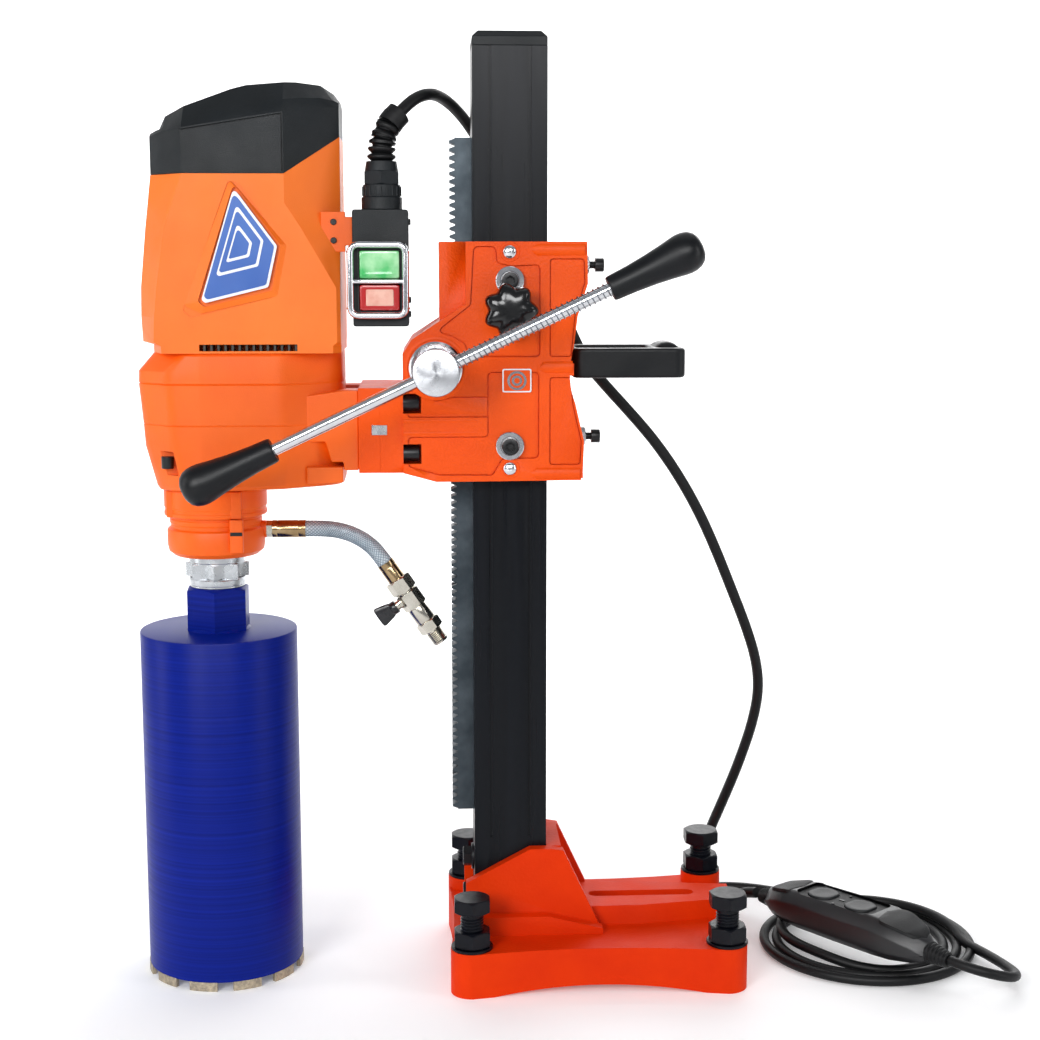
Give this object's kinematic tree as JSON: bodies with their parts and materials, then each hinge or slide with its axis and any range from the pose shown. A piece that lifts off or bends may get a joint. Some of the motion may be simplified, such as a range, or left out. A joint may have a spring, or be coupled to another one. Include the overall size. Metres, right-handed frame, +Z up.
{
  "type": "core drill rig",
  "caption": "Diamond core drill on a rack-and-pinion stand: slotted base, square column, geared carriage, wet drill motor, core bit, feed bar, water valve and leads.",
  "frame": {"origin": "centre of the machined pad on the base's underside, on the column's centre line", "axes": "+Z up along the column; +X from the column along the base, away from the drill motor; -Y is the operator's side with the feed bar"},
  "size_m": [0.9111, 0.3474, 0.97],
  "materials": {
    "stand_paint": "smooth orange-red enamel on an aluminium casting",
    "carriage_paint": "orange enamel on an aluminium casting",
    "motor_paint": "orange enamel on an aluminium casting, slightly satin",
    "column_black": "black anodised extrusion",
    "cap_black": "moulded black plastic",
    "knob_black": "polished black phenolic",
    "rack_steel": "blackened machined steel",
    "black_fasteners": "black oxide steel",
    "level_black": "blue-black oxide steel",
    "chrome": "bright polished steel",
    "spring_steel": "fine bright spring",
    "steel": "machined steel",
    "pad_plastic": "natural bearing plastic",
    "badge_foil": "blank printed metal plate",
    "windings": "laminated steel and copper",
    "bracket_paint": "orange enamel",
    "start_green": "translucent green plastic",
    "stop_red": "red plastic",
    "lead_rubber": "satin black rubber",
    "guard_plastic": "dark grey moulding",
    "guard_buttons": "soft black caps",
    "bit_blue": "ultramarine enamel with fine turning lines",
    "segment_metal": "sintered diamond segments",
    "fitting_nickel": "nickel plated brass",
    "hose_braid": "clear hose with a grey braid",
    "valve_black": "black wing"
  },
  "bodies": {
    "stand": {"base_casting": "stand_paint", "column_tube": "column_black", "column_cap": "cap_black", "rack": "rack_steel", "rack_screws": "black_fasteners", "column_bolts": "black_fasteners", "levelling_nuts": "level_black", "motor_lead_landing": "lead_rubber", "mains_lead": "lead_rubber", "mains_coil": "lead_rubber", "guard_housing": "guard_plastic", "mains_plug": "lead_rubber"},
    "carriage": {"carriage_casting": "carriage_paint", "slide_pads": "pad_plastic", "pad_screws": "black_fasteners", "grease_plugs": "chrome", "rear_screws": "black_fasteners", "carry_handle": "knob_black", "mount_plate": "carriage_paint", "mount_key": "steel", "mount_screws": "black_fasteners", "motor_housing": "motor_paint", "motor_top_cap": "cap_black", "gearbox_housing": "motor_paint", "nose_housing": "motor_paint", "water_collar": "motor_paint", "shaft_seal": "pad_plastic", "bearings": "steel", "stator": "windings", "cap_screws": "black_fasteners", "hub_ring": "chrome", "switch_bracket": "bracket_paint", "switch_box": "cap_black", "switch_cover": "chrome", "cable_gland": "cap_black", "strain_relief": "lead_rubber", "motor_lead_upper": "lead_rubber", "motor_lead_hanging": "lead_rubber", "hose_ferrules": "fitting_nickel", "water_hose": "hose_braid", "valve_body": "fitting_nickel"},
    "levelling_screw_near_left": {"levelling_screw_near_left": "level_black"},
    "levelling_screw_near_right": {"levelling_screw_near_right": "level_black"},
    "levelling_screw_far_left": {"levelling_screw_far_left": "level_black"},
    "levelling_screw_far_right": {"levelling_screw_far_right": "level_black"},
    "feed_shaft": {"feed_shaft": "chrome", "feed_bar": "chrome", "feed_grips": "knob_black", "bar_spring": "spring_steel"},
    "lock_knob": {"lock_knob": "knob_black"},
    "rotor": {"rotor": "windings"},
    "intermediate_gear": {"intermediate_gear": "windings"},
    "spindle": {"spindle": "steel", "core_bit": "bit_blue", "bit_segments": "segment_metal"},
    "start_button": {"start_button": "start_green"},
    "stop_button": {"stop_button": "stop_red"},
    "valve_lever": {"valve_lever": "valve_black"},
    "guard_test_button": {"guard_test_button": "guard_buttons"},
    "guard_reset_button": {"guard_reset_button": "guard_buttons"}
  },
  "joints": [
    {"name": "carriage_feed", "type": "slide", "parent": "stand", "child": "carriage", "axis": [0, 0, 1], "range_m": [-0.32, 0.19], "deforming": ["motor_lead_hanging"]},
    {"name": "feed_bar_turn", "type": "hinge", "parent": "carriage", "child": "feed_shaft", "pos_m": [-0.07515, 0, 0.64], "axis": [0, 1, 0], "range_deg": [-1060, 630]},
    {"name": "lock_knob_turn", "type": "hinge", "parent": "carriage", "child": "lock_knob", "pos_m": [-0.0015, -0.0715, 0.697], "axis": [0, -1, 0], "range_deg": [-180, 180]},
    {"name": "spindle_spin", "type": "hinge", "parent": "carriage", "child": "spindle", "pos_m": [-0.303, 0, 0.5], "axis": [0, 0, 1], "continuous": true},
    {"name": "intermediate_spin", "type": "hinge", "parent": "carriage", "child": "intermediate_gear", "pos_m": [-0.2813, 0.02975, 0.6], "axis": [0, 0, 1], "continuous": true},
    {"name": "rotor_spin", "type": "hinge", "parent": "carriage", "child": "rotor", "pos_m": [-0.268, 0, 0.7], "axis": [0, 0, 1], "continuous": true},
    {"name": "start_press", "type": "slide", "parent": "carriage", "child": "start_button", "axis": [0, 1, 0], "range_m": [0, 0.003], "stiffness_N_per_m": 800, "springref_m": -0.0005},
    {"name": "stop_press", "type": "slide", "parent": "carriage", "child": "stop_button", "axis": [0, 1, 0], "range_m": [0, 0.003], "stiffness_N_per_m": 800, "springref_m": -0.0005},
    {"name": "valve_turn", "type": "hinge", "parent": "carriage", "child": "valve_lever", "pos_m": [-0.10378, 0, 0.39624], "axis": [-0.8241, 0, -0.5664], "range_deg": [0, 90]},
    {"name": "guard_test_press", "type": "slide", "parent": "stand", "child": "guard_test_button", "axis": [0, 0, -1], "range_m": [0, 0.002], "stiffness_N_per_m": 600, "springref_m": -0.001},
    {"name": "guard_reset_press", "type": "slide", "parent": "stand", "child": "guard_reset_button", "axis": [0, 0, -1], "range_m": [0, 0.002], "stiffness_N_per_m": 600, "springref_m": -0.001},
    {"name": "level_near_left", "type": "slide", "parent": "stand", "child": "levelling_screw_near_left", "axis": [0, 0, 1], "range_m": [-0.018, 0.03]},
    {"name": "level_near_right", "type": "slide", "parent": "stand", "child": "levelling_screw_near_right", "axis": [0, 0, 1], "range_m": [-0.018, 0.03]},
    {"name": "level_far_left", "type": "slide", "parent": "stand", "child": "levelling_screw_far_left", "axis": [0, 0, 1], "range_m": [-0.011, 0.03]},
    {"name": "level_far_right", "type": "slide", "parent": "stand", "child": "levelling_screw_far_right", "axis": [0, 0, 1], "range_m": [-0.011, 0.03]}
  ],
  "couplings": [
    {"joint": "feed_bar_turn", "follows": "carriage_feed", "rad_per_m": 57.143},
    {"joint": "intermediate_spin", "follows": "spindle_spin", "ratio": -2.2308},
    {"joint": "rotor_spin", "follows": "spindle_spin", "ratio": 7.4359}
  ]
}
